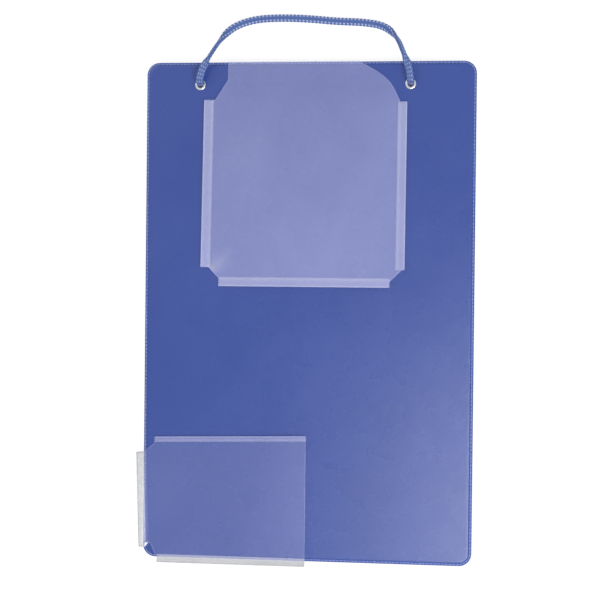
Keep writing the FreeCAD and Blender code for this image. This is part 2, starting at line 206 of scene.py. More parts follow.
def pocket_film_material():
    """Clear soft film with a faint haze; folds, welds and cut edges turn whiter, folds and cut edges as
    painted highlights, a painted glint turns white, and film past the board's edge is painted grey as painted
    shade.
    """
    single_layer = (0.61, 0.64, 1.0)
    double_layer = (0.67, 0.69, 0.88)
    painted_shade_past_edge = (0.37, 0.38, 0.40)
    painted_highlight_white = (0.92, 0.93, 1.0)
    m = Material("clear_pocket_film")
    veil = m.attribute("veil")
    drift = m.ramp(m.noise(24.0, 3.0), 0.3, 0.7, 0.9, 1.1)
    m.join(m.math("MULTIPLY", drift, veil), m.shader.inputs["Alpha"])
    over_board = m.mix(m.ramp(veil, 0.16, 0.24), single_layer, double_layer)
    # Past the board's edge the film is painted grey, as painted shade
    tinted = m.mix(m.attribute("overhang"), over_board, painted_shade_past_edge)
    # Painted highlight: the glint, and folds past the board's edge, turn white
    m.colour(m.mix(m.ramp(veil, 0.45, 0.75), tinted, painted_highlight_white))
    m.roughness(m.ramp(m.noise(90.0, 4.0), 0.3, 0.7, 0.20, 0.32))
    ripple = m.noise(1.0, 2.0, 0.5, m.stretched((30.0, 75.0, 30.0)))
    grain = m.math("MULTIPLY", m.noise(1400.0, 2.0), 0.03)
    m.bump(m.math("ADD", ripple, grain), 0.0009, 0.5)
    m.set(IOR=1.5)
    return m.material


def cord_material():
    """Braided polyester: mid blue strands, light flecks, and painted shade between the strands."""
    blues = ((0.048, 0.100, 0.30), (0.072, 0.134, 0.36))
    flecks = ((0.31, 0.37, 0.62), (0.41, 0.47, 0.70))
    between = (0.005, 0.018, 0.10)
    m = Material("braided_cord")
    fibre = m.noise(1.0, 3.0, 0.6, m.stretched((2600.0, 5200.0, 2600.0)))
    blue = m.mix(m.ramp(fibre, 0.3, 0.7), *blues)
    light = m.mix(m.ramp(fibre, 0.3, 0.7), *flecks)
    strands = m.mix(m.attribute("fleck"), blue, light)
    # Painted shade in the gaps between strands
    m.colour(m.mix(m.attribute("gap_shade"), strands, between))
    m.roughness(m.ramp(fibre, 0.3, 0.7, 0.55, 0.75))
    m.bump(fibre, 0.00012, 0.6)
    m.set(Sheen_Weight=0.25, Sheen_Roughness=0.4)
    return m.material


def metal_material(name, colour, low, high, scratches):
    """Plated or drawn steel with fine scratches and dulled patches. Its roughness runs from low to high, and
    scratches gives their fineness along each axis."""
    m = Material(name)
    lines = m.noise(1.0, 5.0, 0.65, m.stretched(scratches))
    patches = m.noise(160.0, 4.0, 0.6)
    dull = tuple(c * (1.0 - METAL_DULLED) for c in colour)
    m.colour(m.mix(m.ramp(patches, 0.4, 0.75), colour, dull))
    wear = m.math("ADD", m.ramp(lines, 0.35, 0.7, low, high), m.ramp(patches, 0.5, 0.8, 0.0, 0.12))
    m.roughness(wear)
    m.bump(lines, 0.00003, 0.5)
    m.set(Metallic=1.0)
    return m.material


def core_material():
    """Grey-brown pressed board with fibres."""
    dark = (0.20, 0.15, 0.10)
    light = (0.36, 0.29, 0.20)
    m = Material("core_pressed_board")
    fibres = m.noise(900.0, 6.0, 0.7)
    m.colour(m.mix(m.ramp(fibres, 0.3, 0.7), dark, light))
    m.roughness(m.ramp(fibres, 0.2, 0.8, 0.8, 0.95))
    m.bump(fibres, 0.0002, 0.5)
    return m.material


def floor_material():
    """Nearly white surface that glows a little, as an evenly lit studio sheet does."""
    m = Material("pale_floor")
    m.colour(m.mix(m.noise(8.0, 2.0), (0.24, 0.24, 0.24), (0.26, 0.26, 0.26)))
    m.set(Roughness=0.9, Specular_IOR_Level=0.1)
    m.set(Emission_Color=(1.0, 1.0, 1.0, 1.0), Emission_Strength=0.80)
    return m.material


COVER_FILM = cover_film_material()
POCKET_FILM = pocket_film_material()
CORD_BRAID = cord_material()
CORE_BOARD = core_material()
NICKEL = metal_material("nickel_plate", (0.79, 0.80, 0.83), 0.12, 0.24, (900.0, 900.0, 900.0))
CLIP_STEEL = metal_material("clip_nickel_plate", (0.70, 0.70, 0.70), 0.20, 0.36, (60.0, 2600.0, 2600.0))
PIN_STEEL = metal_material("drawn_steel", (0.56, 0.56, 0.57), 0.26, 0.42, (1800.0, 500.0, 500.0))
SPRING_STEEL = metal_material("spring_wire", (0.34, 0.34, 0.36), 0.28, 0.44, (1500.0, 700.0, 700.0))


# ---------------- mesh helpers


def finish_piece(name, edit, material, body):
    """Turns a bmesh into a smooth-shaded object that rides on a body, if one is named."""
    mesh = bpy.data.meshes.new(name)
    edit.to_mesh(mesh)
    edit.free()
    mesh.materials.append(material)
    mesh.polygons.foreach_set("use_smooth", [True] * len(mesh.polygons))
    piece = bpy.data.objects.new(name, mesh)
    bpy.context.scene.collection.objects.link(piece)
    if body:
        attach(piece, body)
    return piece


def bridge(edit, rows, closed):
    """Quads between rows of vertices, each row closed into a ring or left open."""
    for first, second in zip(rows, rows[1:]):
        count = len(first)
        for i in range(count if closed else count - 1):
            j = (i + 1) % count
            edit.faces.new((first[i], first[j], second[j], second[i]))


def smooth_step(value):
    """0 below 0, 1 above 1, and a smooth turn between them."""
    value = min(max(value, 0.0), 1.0)
    return value * value * (3 - 2 * value)


# ---------------- board covers

# The seam's dashes: sampling and pitch along the rim, and the insets that they are painted between, in
# millimetres
SEAM_SAMPLE = 0.4
SEAM_PITCH = 2.6
SEAM_GROOVE = (0.8, 1.55)
# How pale the seam is between its dashes, and how sharply a dash starts
SEAM_PALE = 0.3
DASH_STEEPNESS = 1.6
HOLE_POINTS = 40
# What delaunay_2d_cdt is asked for, and how close its points may be, in the units of its points
FACES_INSIDE = 1
MERGE_METRES = 1e-7
MERGE_MM = 1e-6
# Profiles from inside the seam round its edge and in over the board: inset, height above the seam's middle
# and how far a dash is pressed in, all in millimetres
BACK_TOP = (BACK_Z - SEAM_Z) / MM
BACK_PROFILE = [
    (2.3, 0.02, 0),
    (0.30, 0.02, 0),
    (0.08, 0.18, 0),
    (0.0, 0.5, 0),
    (0.05, 0.9, 0),
    (0.25, 1.22, 0),
    (0.55, 1.38, 0),
    (0.75, 1.34, 0),
    (0.85, 1.24, -0.12),
    (1.1, 1.14, -0.22),
    (1.4, 1.18, -0.18),
    (1.52, 1.30, -0.06),
    (1.65, 1.55, 0),
    (1.85, 2.05, 0),
    (2.15, 2.42, 0),
    (2.6, 2.62, 0),
    (3.2, BACK_TOP - 0.01, 0),
    (4.2, BACK_TOP, 0),
]
FRONT_TOP = (FRONT_Z - SEAM_Z) / MM
FRONT_PROFILE = [
    (2.3, -0.02, 0),
    (0.25, -0.02, 0),
    (0.06, -0.10, 0),
    (0.0, -0.16, 0),
    (0.08, -0.24, 0),
    (0.3, FRONT_TOP, 0),
    (0.85, FRONT_TOP, 0),
    (1.0, -0.20, 0.06),
    (1.2, -0.16, 0.10),
    (1.4, -0.20, 0.06),
    (1.6, FRONT_TOP + 0.01, 0),
    (3.2, FRONT_TOP, 0),
]


def above_seam(millimetres):
    """Height above the middle of the seam, between the two covers."""
    return SEAM_Z + millimetres * MM


def rounded_outline(inset, spacing):
    """(x, down, distance along) points round the board, the same number at every inset."""
    half = HALF_WIDTH - CORNER_RADIUS
    run_x = 2 * half
    run_y = BOARD_LENGTH - 2 * CORNER_RADIUS
    radius = CORNER_RADIUS - inset
    corners = [
        (half, CORNER_RADIUS, 90, run_x),
        (half, BOARD_LENGTH - CORNER_RADIUS, 0, run_y),
        (-half, BOARD_LENGTH - CORNER_RADIUS, -90, run_x),
        (-half, CORNER_RADIUS, -180, run_y),
    ]
    arc = CORNER_RADIUS * math.pi / 2
    points = []
    travelled = 0.0
    for x, down, start, run in corners:
        side = math.radians(start)
        normal = (math.cos(side), -math.sin(side))
        along = (normal[1], -normal[0])
        steps = round(run / spacing)
        for i in range(steps):
            back = run * (1 - i / steps)
            edge_x = x + normal[0] * radius + along[0] * back
            edge_down = down + normal[1] * radius + along[1] * back
            points.append((edge_x, edge_down, travelled + run - back))
        travelled += run
        turns = round(arc / spacing)
        for i in range(turns):
            angle = side - math.pi / 2 * i / turns
            edge_x = x + math.cos(angle) * radius
            edge_down = down - math.sin(angle) * radius
            points.append((edge_x, edge_down, travelled + arc * i / turns))
        travelled += arc
    return points


def circle_points(x, down, radius):
    turns = [2 * math.pi / HOLE_POINTS * i for i in range(HOLE_POINTS)]
    return [(x + radius * math.cos(turn), down + radius * math.sin(turn)) for turn in turns]


def flat_with_holes(edit, border, height, holes):
    """Fills the border ring with faces, leaving round holes."""
    flat = [Vector((v.co.x, v.co.y)) for v in border]
    edges = [(i, (i + 1) % len(flat)) for i in range(len(flat))]
    verts = list(border)
    for x, down, radius in holes:
        start = len(flat)
        ring = circle_points(x, down, radius)
        for px, pdown in ring:
            place = at(px, pdown, height)
            flat.append(place.xy)
            verts.append(edit.verts.new(place))
        edges += [(start + i, start + (i + 1) % len(ring)) for i in range(len(ring))]
    points, _, faces, origins, _, _ = delaunay_2d_cdt(flat, edges, [], FACES_INSIDE, MERGE_METRES)
    centres = [(at(x, down, 0).xy, radius * MM) for x, down, radius in holes]
    for face in faces:
        middle = sum((points[i] for i in face), Vector((0, 0))) / len(face)
        if any((middle - c).length < r for c, r in centres):
            continue
        edit.faces.new([verts[origins[i][0]] for i in face])


def cover(name, profile, node, holes):
    """Film cover. Dashes are pressed into its seam, and painted between the insets in SEAM_GROOVE."""
    edit = bmesh.new()
    seam = edit.verts.layers.float.new("seam")
    rows = []
    for inset, height, press in profile:
        row = []
        for x, down, along in rounded_outline(inset, SEAM_SAMPLE):
            dash = smooth_step(0.5 + DASH_STEEPNESS * math.cos(2 * math.pi * along / SEAM_PITCH))
            vert = edit.verts.new(at(x, down, above_seam(height) + press * dash * MM))
            if SEAM_GROOVE[0] <= inset <= SEAM_GROOVE[1]:
                vert[seam] = SEAM_PALE + (1 - SEAM_PALE) * dash
            row.append(vert)
        rows.append(row)
    bridge(edit, rows, closed=True)
    flat_with_holes(edit, rows[-1], above_seam(profile[-1][1]), holes)
    bmesh.ops.recalc_face_normals(edit, faces=edit.faces)
    piece = finish_piece(name, edit, COVER_FILM, "board")
    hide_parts(node)


def board_covers():
    holes = [(eyelet_x(side), EYELET_DOWN, EYELET_RADIUS) for side in ("left", "right")]
    cover("back_cover_film", BACK_PROFILE, "back_cover", holes)
    cover("front_cover_film", FRONT_PROFILE, "front_cover", holes)


# ---------------- clear pockets

# The film's thickness, and the spacing of points along its outline and over its face, in millimetres
FILM = 0.3
OUTLINE_STEP = 1.5
FACE_STEP = 3.0
# Past the fold line: outwards and down, in millimetres
FOLD_TURN = [(0.0, 0.0), (0.22, -0.08), (0.33, -0.3), (0.22, -0.52), (0.0, -0.62)]
# A folded strip: steps across it, how hollow it falls, its weld's width, and the line at a double layer's end
GUSSET_STEPS = 5
GUSSET_HOLLOW = 0.8
WELD_FOOT = 1.5
STRIP_LINE = 0.25
# The cut edge's whiter painted highlight fades out over this
CUT_EDGE_BAND = 0.45
# Points of a fold closer than this are made one
FOLD_MERGE = 0.02
# Near its welds a film lies this far above the board, and its middle stays this far under its face's top
FILM_LOW = 0.45
FILM_HEADROOM = 0.5
# How much of the light behind it one surface of the film hides
KEY_VEIL = 0.15
CARD_VEIL = 0.043
OPEN_VEIL = 0.05
# Cut edges and folds are hazier and whiter as painted highlights
CUT_EDGE_HIGHLIGHT_VEIL = 0.26
FOLD_HIGHLIGHT_VEIL = 0.28
GUSSET_VEIL = 0.195
WELD_VEIL = 0.24
GLINT_VEIL = 0.8
# Painted shade: film past the board's edge is made this much hazier
OVERHANG_SHADE = 0.9
# The film stands above the board, so its shade starts this far inside the board's edge
OVERHANG_START = 1.0
OVERHANG_FADE = 0.8
# Height over which a film's motion fades in, in times the travel that presses it flat
BLEND_REACH = 1.6
KEY_PRESS_TRAVEL = 4.4
CARD_PRESS_TRAVEL = 4.1


def divided(start, end, step):
    """Points from start up to, not including, end, evenly spaced."""
    count = max(1, round(math.dist(start, end) / step))
    return [
        (start[0] + (end[0] - start[0]) * i / count, start[1] + (end[1] - start[1]) * i / count)
        for i in range(count)
    ]


def straight_sides(corners):
    """Points along the straight runs between corners, up to, not including, the last corner."""
    outline = []
    for start, end in zip(corners, corners[1:]):
        outline += divided(start, end, OUTLINE_STEP)
    return outline


def between_middle_two(a, b, c, d, t):
    """Catmull-Rom value at t from b to c."""
    return 0.5 * (2 * b + (c - a) * t + (2 * a - 5 * b + 4 * c - d) * t * t + (3 * b - 3 * c + d - a) * t**3)


def curve_through(points, step):
    """A smooth bend through given points, up to, not including, the last one."""
    smooth = []
    padded = points[:1] + points + points[-1:]
    for four in zip(padded, padded[1:], padded[2:], padded[3:]):
        count = max(2, round(math.dist(four[1], four[2]) / step))
        for i in range(count):
            smooth.append(tuple(between_middle_two(*values, i / count) for values in zip(*four)))
    return smooth


def film_layers(edit):
    """Adds the two painted values of a film and returns its veil."""
    edit.verts.layers.float.new("overhang")
    return edit.verts.layers.float.new("veil")


def mark_overhang(edit):
    """Film that hangs past the board's edge picks up none of its blue, and is painted grey and hazier as
    painted shade.
    """
    overhang = edit.verts.layers.float["overhang"]
    veil = edit.verts.layers.float["veil"]
    for vert in edit.verts:
        x = (vert.co.x - CENTRE_X) / MM
        down = (TOP_Y - vert.co.y) / MM
        past_edge = max(abs(x) - HALF_WIDTH, down - BOARD_LENGTH)
        vert[overhang] = smooth_step((past_edge + OVERHANG_START) / OVERHANG_FADE)
        # Painted shade past the board's edge
        vert[veil] *= 1 + OVERHANG_SHADE * vert[overhang]


def inset_points(outline, distance):
    """Points just inside a clockwise or anticlockwise outline."""
    area = sum(a[0] * b[1] - b[0] * a[1] for a, b in zip(outline, outline[1:] + outline[:1]))
    turn = 1 if area > 0 else -1
    points = []
    for before, here, after in zip(outline[-1:] + outline[:-1], outline, outline[1:] + outline[:1]):
        run = (after[0] - before[0], after[1] - before[1])
        length = math.hypot(*run)
        x = here[0] - turn * run[1] / length * distance
        down = here[1] + turn * run[0] / length * distance
        points.append((x, down))
    return points


def film_face(edit, veil, outline, height, clarity):
    """Triangulated sheet over a closed outline; height(x, down) gives its z and clarity(x, down) its veil."""
    count = len(outline)
    flat = [Vector(p) for p in outline + inset_points(outline, CUT_EDGE_BAND)]
    edges = [(i, (i + 1) % count) for i in range(count)]
    xs = [p[0] for p in outline]
    downs = [p[1] for p in outline]
    row = 0
    down = min(downs) + FACE_STEP / 2
    while down < max(downs):
        x = min(xs) + FACE_STEP / 2 * (1 + row % 2)
        while x < max(xs):
            flat.append(Vector((x, down)))
            x += FACE_STEP
        down += FACE_STEP
        row += 1
    points, _, faces, _, _, _ = delaunay_2d_cdt(flat, edges, [], FACES_INSIDE, MERGE_MM)
    used = sorted({i for face in faces for i in face})
    verts = {i: edit.verts.new(at(points[i].x, points[i].y, height(*points[i]))) for i in used}
    for i in used:
        verts[i][veil] = CUT_EDGE_HIGHLIGHT_VEIL if i < count else clarity(*points[i])
    for face in faces:
        edit.faces.new([verts[i] for i in face])


def gusset_rows(width, strip):
    """(inwards, veil) from the fold to the inner edge of the weld; strip is where a double layer ends."""
    weld = width - WELD_FOOT
    rows = [(weld * i / GUSSET_STEPS, GUSSET_VEIL) for i in range(1, GUSSET_STEPS)]
    if not strip:
        return rows + [(weld, WELD_VEIL), (width, WELD_VEIL)]
    rows = [(inwards, veil if inwards < strip else OPEN_VEIL) for inwards, veil in rows]
    rows += [(strip - STRIP_LINE, GUSSET_VEIL), (strip, CUT_EDGE_HIGHLIGHT_VEIL), (strip + STRIP_LINE, OPEN_VEIL)]
    return sorted(rows) + [(weld, OPEN_VEIL), (width, OPEN_VEIL)]


def film_gusset(edit, veil, fold, outward, height, width, strip=None, haze=1.0):
    """Folded edge: the film turns over at the fold line and comes back down to its weld on the board."""
    line = divided(*fold, OUTLINE_STEP) + [fold[1]]
    rows = []
    board = BACK_Z + FILM * MM / 2
    for out, drop in FOLD_TURN:
        row = []
        for x, down in line:
            place = at(x + outward[0] * out, down + outward[1] * out, height(x, down) + drop * MM)
            vert = edit.verts.new(place)
            vert[veil] = FOLD_HIGHLIGHT_VEIL * haze
            row.append(vert)
        rows.append(row)
    for inwards, clarity in gusset_rows(width, strip):
        share = smooth_step(inwards / (width - WELD_FOOT)) ** GUSSET_HOLLOW
        row = []
        for x, down in line:
            start = height(x, down) + FOLD_TURN[-1][1] * MM
            place = at(x - outward[0] * inwards, down - outward[1] * inwards, start + (board - start) * share)
            vert = edit.verts.new(place)
            vert[veil] = clarity * haze
            row.append(vert)
        rows.append(row)
    bridge(edit, rows, closed=False)


def thicken(edit):
    """Gives a sheet its real thickness."""
    bmesh.ops.remove_doubles(edit, verts=edit.verts, dist=FOLD_MERGE * MM)
    bmesh.ops.recalc_face_normals(edit, faces=edit.faces)
    upward = sum(face.normal.z * face.calc_area() for face in edit.faces)
    if upward < 0:
        bmesh.ops.reverse_faces(edit, faces=edit.faces)
    bmesh.ops.solidify(edit, geom=edit.faces, thickness=FILM * MM)


def add_pocket(name, edit, body, nodes, press_travel):
    """Adds the film and lets it follow its face more the higher it lies. Pressed flat, every layer comes to
    rest above the board and in its own order, because the blend reaches past 1.5 times the travel."""
    mark_overhang(edit)
    thicken(edit)
    piece = finish_piece(name, edit, POCKET_FILM, None)
    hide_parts(*nodes)
    reach = BLEND_REACH * press_travel * MM
    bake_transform(piece, "board", body, start=(0, 0, BACK_Z), end=(0, 0, BACK_Z + reach))


# The key pocket's left and right fold: x at the top and foot of each, then down at both tops and both feet
KEY_LEFT = (-73.5, -75.0)
KEY_RIGHT = (67.6, 67.0)
KEY_STRIP_TOP = (26.9, 28.6)
KEY_STRIP_END = (143.6, 144.6)
# The foot's fold, from left to right, the top's weld, from left to right, and the folded strips' width
KEY_FOOT = 156.6
KEY_CORNERS = (-62.4, 56.9)
KEY_TOP = (-57.3, 34.6)
KEY_STRIP = 6.2
# Its cut corners at the foot, the slope from its left fold up to the top, and its curved mouth
KEY_RIGHT_CUT = [(KEY_RIGHT[1] - 1.6, KEY_STRIP_END[1]), (KEY_CORNERS[1], 153.0)]
KEY_LEFT_CUT = [(KEY_CORNERS[0], 151.4), (KEY_LEFT[1] + 5.4, KEY_STRIP_END[0])]
KEY_SLOPE = [(-65.8, KEY_STRIP_TOP[0]), (KEY_TOP[0], 12.8)]
KEY_MOUTH = [(41.8, 4.3), (48.8, 8.6), (55.6, 14.6), (59.2, 20.2), (61.4, 24.9), (63.2, 28.6)]
# The film's face starts just inside the board's top edge
KEY_TOP_DOWN = 0.4
# Where the film lifts off the board's top edge, and the run over which it does
KEY_RISE_START = 1.0
KEY_RISE_RUN = 30.0
# The middle and half length of its swelling part, its share of the full height at the folds, and what the
# swelling adds
KEY_SWELL_DOWN = 86.0
KEY_SWELL_HALF = 71.0
KEY_EDGE_SHARE = 0.62
KEY_SWELL = 0.3
# Slow waves: height, and how long they are across and down, in millimetres per radian
KEY_WAVES = [(0.16, 9.0, 23.0), (0.12, -31.0, 11.0)]
# Its veil at the top, as a share, where that share reaches 1, and the veil that a crease adds, partly stress
# whitening and partly a painted highlight
KEY_VEIL_TOP = 0.84
KEY_VEIL_DOWN = 130.0
KEY_CREASE_WHITENING_AND_GLINT = 0.75
# Creases that fan out of the lower left corner: angle, length and strength, then a crease's width in degrees
# at its root and tip
KEY_CREASE_ROOT = (-73.0, 150.5)
KEY_CREASES = [(29.0, 26.0, 0.5), (45.0, 31.0, 1.1), (62.0, 23.0, 0.5)]
KEY_CREASE_WIDTH = (12.0, 6.0)
KEY_CREASE_LIFT = 0.5
# Over the board's top edge: down from the edge line, then the height above the seam, in millimetres
TOP_WRAP = [(0.0, 2.95), (-0.3, 2.5), (-0.42, 1.8), (-0.42, 1.0), (-0.4, 0.4)]


def crease(x, down):
    """How sharply the film is creased, from 0."""
    right = x - KEY_CREASE_ROOT[0]
    up = KEY_CREASE_ROOT[1] - down
    reach = math.hypot(right, up)
    heading = math.degrees(math.atan2(up, right))
    root_width, tip_width = KEY_CREASE_WIDTH
    total = 0.0
    for angle, length, strength in KEY_CREASES:
        width = root_width + (tip_width - root_width) * min(reach / length, 1.0)
        across = (heading - angle) / width
        total += strength * math.exp(-across * across) * max(0.0, 1 - reach / length)
    return total


def pillow(across, along):
    """1 over most of a face, falling to 0 at its sides, where across or along is 1 or -1."""
    return max(0.0, 1 - across**4) * max(0.0, 1 - along**4)


def waves(rows, x, down):
    """Height of slow waves over the film, in millimetres."""
    return sum(height * math.sin(x / across + down / along) for height, across, along in rows)


def film_height(face_z, share, extra):
    """Height at a share of the way from near the board to under the face's top, with extra millimetres."""
    low = BACK_Z + FILM_LOW * MM
    return low + (face_z - FILM_HEADROOM * MM - low) * share + extra * MM


def key_face_height(x, down):
    """Flat along the folded edges, swelling in the middle, and brought down to the board's top edge."""
    rise = smooth_step((down - KEY_RISE_START) / KEY_RISE_RUN)
    across = (x - (KEY_LEFT[1] + KEY_RIGHT[1]) / 2) / (KEY_RIGHT[1] - KEY_LEFT[1]) * 2
    swell = pillow(across, (down - KEY_SWELL_DOWN) / KEY_SWELL_HALF)
    ripple = waves(KEY_WAVES, x, down)
    share = rise * (KEY_EDGE_SHARE + KEY_SWELL * swell)
    return film_height(KEY_FACE_Z, share, (ripple * swell + KEY_CREASE_LIFT * crease(x, down)) * rise)


def key_veil(x, down):
    """Clearest near the top, hazier towards the foot and along the creases, where the haze is partly stress
    whitening and partly a painted highlight.
    """
    base = KEY_VEIL_TOP + (1 - KEY_VEIL_TOP) * smooth_step(down / KEY_VEIL_DOWN)
    return KEY_VEIL * (base + KEY_CREASE_WHITENING_AND_GLINT * crease(x, down))


def top_edge_wrap(edit, veil):
    """The film's top is welded over the rim of the board's top edge."""
    start = (KEY_TOP[0], KEY_TOP_DOWN)
    end = (KEY_TOP[1], KEY_TOP_DOWN)
    line = divided(start, end, OUTLINE_STEP) + [end]
    rows = [[edit.verts.new(at(x, down, key_face_height(x, down))) for x, down in line]]
    for down, height in TOP_WRAP:
        rows.append([edit.verts.new(at(x, down, above_seam(height))) for x, _ in line])
    for row in rows:
        for vert in row:
            vert[veil] = WELD_VEIL
    bridge(edit, rows, closed=False)


def key_pocket():
    """Clear film with folded edges at left, right and foot, and a curved mouth at the top right."""
    left_fold = [(KEY_LEFT[1], KEY_STRIP_END[0]), (KEY_LEFT[0], KEY_STRIP_TOP[0])]
    right_fold = [(KEY_RIGHT[0], KEY_STRIP_TOP[1]), (KEY_RIGHT[1], KEY_STRIP_END[1])]
    foot_fold = [(KEY_CORNERS[1], KEY_FOOT), (KEY_CORNERS[0], KEY_FOOT)]
    mouth_start = (KEY_TOP[1], KEY_TOP_DOWN)
    corners = [
        KEY_MOUTH[-1],
        *right_fold,
        *KEY_RIGHT_CUT,
        *foot_fold,
        *KEY_LEFT_CUT,
        *left_fold,
        *KEY_SLOPE,
        (KEY_TOP[0], KEY_TOP_DOWN),
        mouth_start,
    ]
    outline = straight_sides(corners) + curve_through([mouth_start] + KEY_MOUTH, OUTLINE_STEP)
    edit = bmesh.new()
    veil = film_layers(edit)
    film_face(edit, veil, outline, key_face_height, key_veil)
    for fold, outward in ((left_fold, (-1, 0)), (right_fold, (1, 0)), (foot_fold, (0, 1))):
        film_gusset(edit, veil, fold, outward, key_face_height, KEY_STRIP)
    top_edge_wrap(edit, veil)
    nodes = ["key_pocket_face", "key_pocket_top_flap"]
    nodes += ["key_pocket_%s_gusset" % side for side in ("left", "right", "bottom")]
    add_pocket("key_pocket_film", edit, "key_pocket", nodes, KEY_PRESS_TRAVEL)


# The card pocket's top fold: down at its left and right end, and x there
CARD_TOP = (263.4, 260.8)
CARD_TOP_LEFT = -106.8
CARD_RIGHT = 0.0
# Its left fold: x at its top and foot, and down there
CARD_LEFT = (-119.6, -117.4)
CARD_SHOULDER = 274.2
CARD_LEFT_END = 341.0
# Its foot's fold, and x at that fold's left end
CARD_FOOT = 351.3
CARD_BOTTOM_LEFT = -104.6
# The cut corners at the upper left and the lower left, each from fold to fold, and the painted glint in the
# lower one
CARD_SLOPE = [(-113.4, CARD_SHOULDER - 1.0), (CARD_TOP_LEFT, 267.8)]
CARD_NOTCH = [(-104.6, 347.8), (-106.4, 344.4), (-108.3, 339.8), (-110.2, 337.2), (-113.4, 341.2)]
CARD_GLINT = (-112.0, 339.2)
CARD_GLINT_REACH = 1.9
# Widths of the folded strips, where the left one's double layer ends, and the top one's share of the veil
CARD_TOP_WIDTH = 3.7
CARD_FOOT_WIDTH = 5.2
CARD_LEFT_WIDTH = 6.6
CARD_STRIP = 4.6
CARD_TOP_HAZE = 0.75
# The middle and half size of its swelling part, its share of the full height at the folds, and what the
# swelling and the lift towards its open side add
CARD_SWELL_PLACE = (-60.0, 306.0)
CARD_SWELL_HALF = (58.0, 45.0)
CARD_EDGE_SHARE = 0.55
CARD_SWELL = 0.25
CARD_LIFT = 0.08
CARD_WAVES = [(0.10, 12.0, 17.0), (0.07, -21.0, 9.0)]
# How much hazier the film is at its open side
CARD_RUBBED = 0.35


def card_across(x):
    """-1 at the pocket's left side, 1 at its open right side."""
    return (x - CARD_SWELL_PLACE[0]) / CARD_SWELL_HALF[0]


def card_face_height(x, down):
    """Nearly flat, lifting a little towards its open right side."""
    across = card_across(x)
    swell = pillow(across, (down - CARD_SWELL_PLACE[1]) / CARD_SWELL_HALF[1])
    ripple = waves(CARD_WAVES, x, down)
    share = CARD_EDGE_SHARE + CARD_SWELL * swell + CARD_LIFT * across
    return film_height(CARD_FACE_Z, share, ripple * swell)


def card_veil(x, _):
    """A little hazier towards the open side, where cards rub."""
    return CARD_VEIL * (1.0 + CARD_RUBBED * smooth_step(card_across(x)))


def card_pocket():
    """Clear film with folded edges at top, left and foot, open at the right."""
    top_fold = [(CARD_TOP_LEFT, CARD_TOP[0]), (CARD_RIGHT, CARD_TOP[1])]
    foot_fold = [(CARD_RIGHT, CARD_FOOT), (CARD_BOTTOM_LEFT, CARD_FOOT)]
    left_fold = [(CARD_LEFT[1], CARD_LEFT_END), (CARD_LEFT[0], CARD_SHOULDER)]
    corners = top_fold + foot_fold + CARD_NOTCH + left_fold + CARD_SLOPE + top_fold[:1]
    edit = bmesh.new()
    veil = film_layers(edit)
    film_face(edit, veil, straight_sides(corners), card_face_height, card_veil)
    # Painted highlight: the film round the glint is made nearly white
    glint = at(*CARD_GLINT, 0).xy
    for vert in edit.verts:
        if (vert.co.xy - glint).length < CARD_GLINT_REACH * MM:
            vert[veil] = GLINT_VEIL
    film_gusset(edit, veil, top_fold, (0, -1), card_face_height, CARD_TOP_WIDTH, haze=CARD_TOP_HAZE)
    film_gusset(edit, veil, foot_fold, (0, 1), card_face_height, CARD_FOOT_WIDTH)
    film_gusset(edit, veil, left_fold, (-1, 0), card_face_height, CARD_LEFT_WIDTH, CARD_STRIP)
    nodes = ["card_pocket_face"]
    nodes += ["card_pocket_%s_gusset" % side for side in ("top", "left", "bottom")]
    add_pocket("card_pocket_film", edit, "card_pocket", nodes, CARD_PRESS_TRAVEL)


# ---------------- cord

# The cord's section on its loop, and squeezed in an eyelet's bore, in millimetres
CORD_WIDTH = 5.4
CORD_THICKNESS = 3.4
BORE_CORD_WIDTH = 4.4
BORE_CORD_THICKNESS = 3.0
# The squeezed part's length from the cord's end, and the run over which it widens
SQUEEZED_END = 2.5
SQUEEZED_RUN = 5.0
# Quarter turns in each leg: distance from the cord's end, and the run over which it turns
QUARTER_TURNS = [(22.0, 9.0), (46.0, 16.0)]
# The valley along the middle of each face: its depth and width, as shares of the half thickness and width
CENTRE_VALLEY = 0.16
VALLEY_WIDTH = 0.3
# Where the cord starts to follow its loop, above an eyelet, and the way in which it gives in to it. It slopes
# upwards, so that nothing in the eyelet's bore moves, while the low far end of the loop follows whole.
CORD_HELD = 1.13
CORD_BEND = (0.0, 2.0, 4.0)
# The braid: strands each way, how far along the cord one runs to reach the next one's place, and how much
# they widen round the edges
BRAID_STRANDS = 6
BRAID_PITCH = 2.6
EDGE_STRAND_SPREAD = 0.40
# How deep the braid's relief is, and how much of it is a strand's own crown and its weaving over and under
BRAID_RELIEF = 0.34
CROWN_SHARE = 0.55
WEAVE_SHARE = 0.45
# Where the flecks show on the outer face, as shares of the half width; the other face is faintly flecked,
# partly its own pattern and partly painted shade
FLECK_BAND = (0.24, 0.99)
BACK_FLECK = 0.5
# How pale a fleck is: its gain with the strand's height, less a start
FLECK_GAIN = 1.6
FLECK_START = 0.5
# The height under which a gap between strands gets painted shade, and how fast it darkens
GAP_HEIGHT = 0.62
GAP_GAIN = 1.5
RING_POINTS = 64
RING_STEP = 0.24
CURVE_STEPS = 24
# The axis that the loop turns about lies this far above the eyelets
EYELET_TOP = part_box("left_eyelet")[1].z / MM
PIVOT_UP = 2.1
PIVOT_Z = EYELET_TOP + PIVOT_UP

